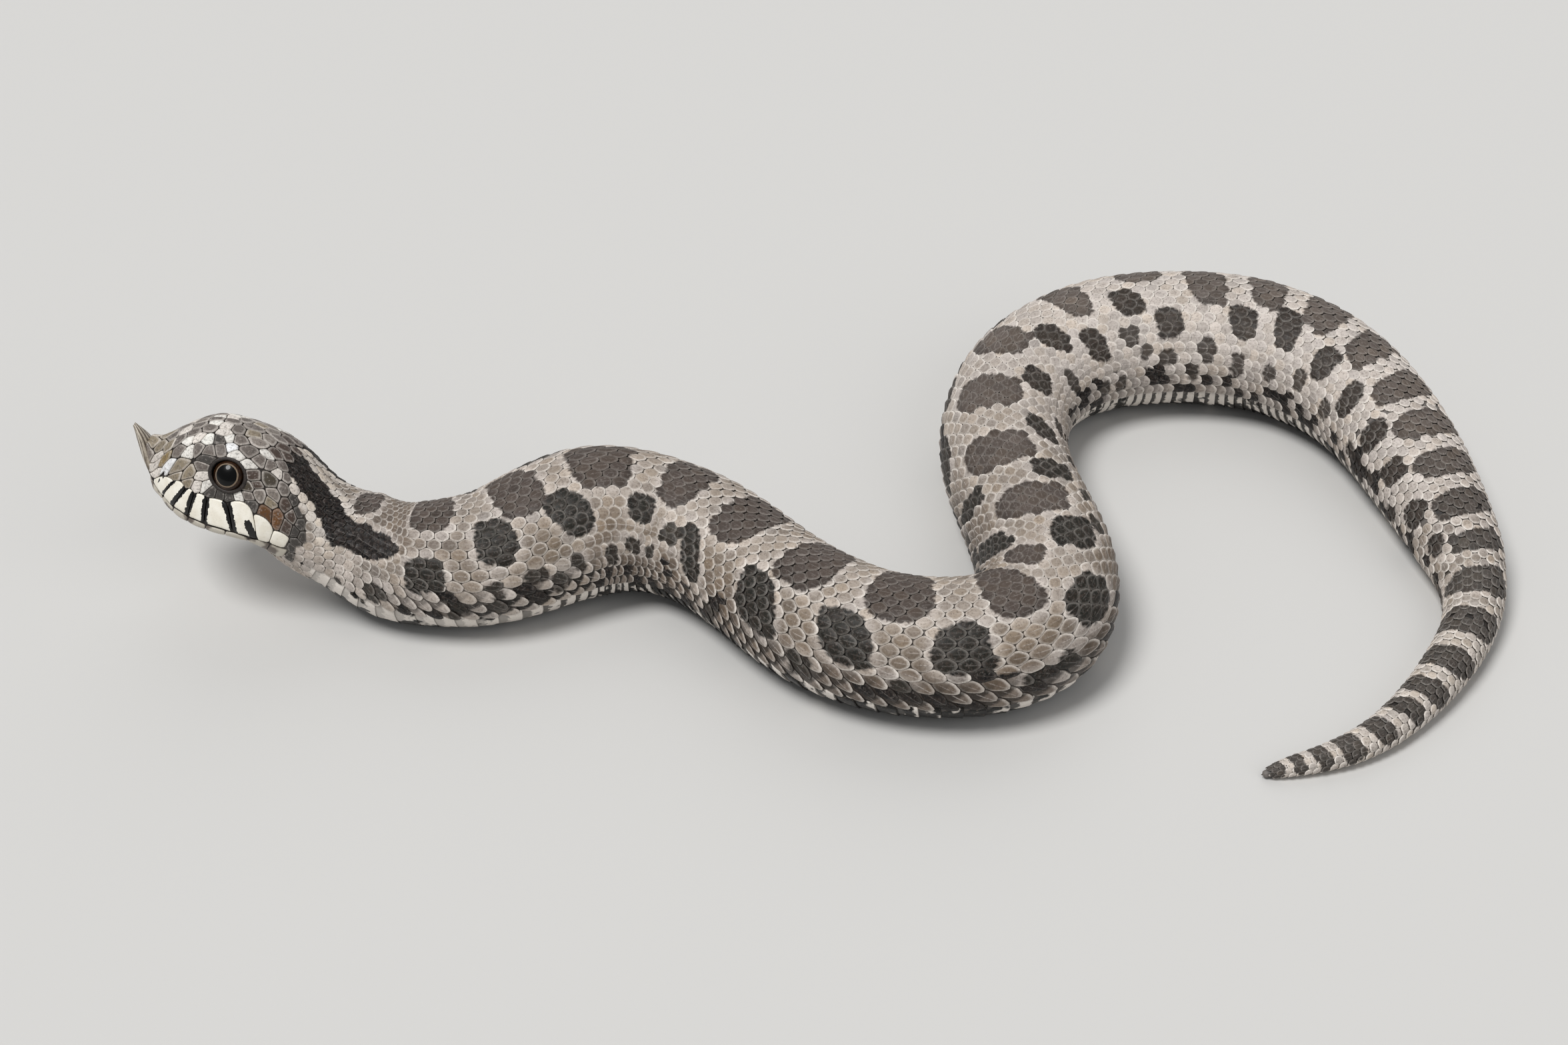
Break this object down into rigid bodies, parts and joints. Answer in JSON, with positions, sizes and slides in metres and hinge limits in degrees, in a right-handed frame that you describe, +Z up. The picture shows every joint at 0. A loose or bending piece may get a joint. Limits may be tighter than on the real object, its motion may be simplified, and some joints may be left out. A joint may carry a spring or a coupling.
{
  "type": "hognose snake",
  "caption": "Still life-size young western hognose snake lying in a loose open loop with its head and neck raised off the floor.",
  "frame": {"origin": "centre of the bounding box's base, on the floor", "axes": "+X from the head's side of the loop to the tail's side, +Y away from the side seen in the reference view, +Z up"},
  "size_m": [0.1752, 0.0892, 0.0247],
  "materials": {
    "scaled_skin": "dry keeled scales, beige-grey with dark grey-brown blotches",
    "pale_skin": "smooth pale scales",
    "snout_plate": "hard horny plate, satin",
    "eye": "wet-looking, very dark brown with a round black pupil"
  },
  "bodies": {
    "root": {"head": "scaled_skin", "neck": "scaled_skin", "trunk_1": "scaled_skin", "trunk_2": "scaled_skin", "trunk_3": "scaled_skin", "trunk_4": "scaled_skin", "trunk_5": "scaled_skin", "trunk_6": "scaled_skin", "trunk_7": "scaled_skin", "trunk_8": "scaled_skin", "tail_base": "scaled_skin", "tail_tip": "scaled_skin", "lower_jaw": "pale_skin", "rostral_scale": "snout_plate", "eye_left": "eye", "eye_right": "eye"}
  },
  "joints": []
}
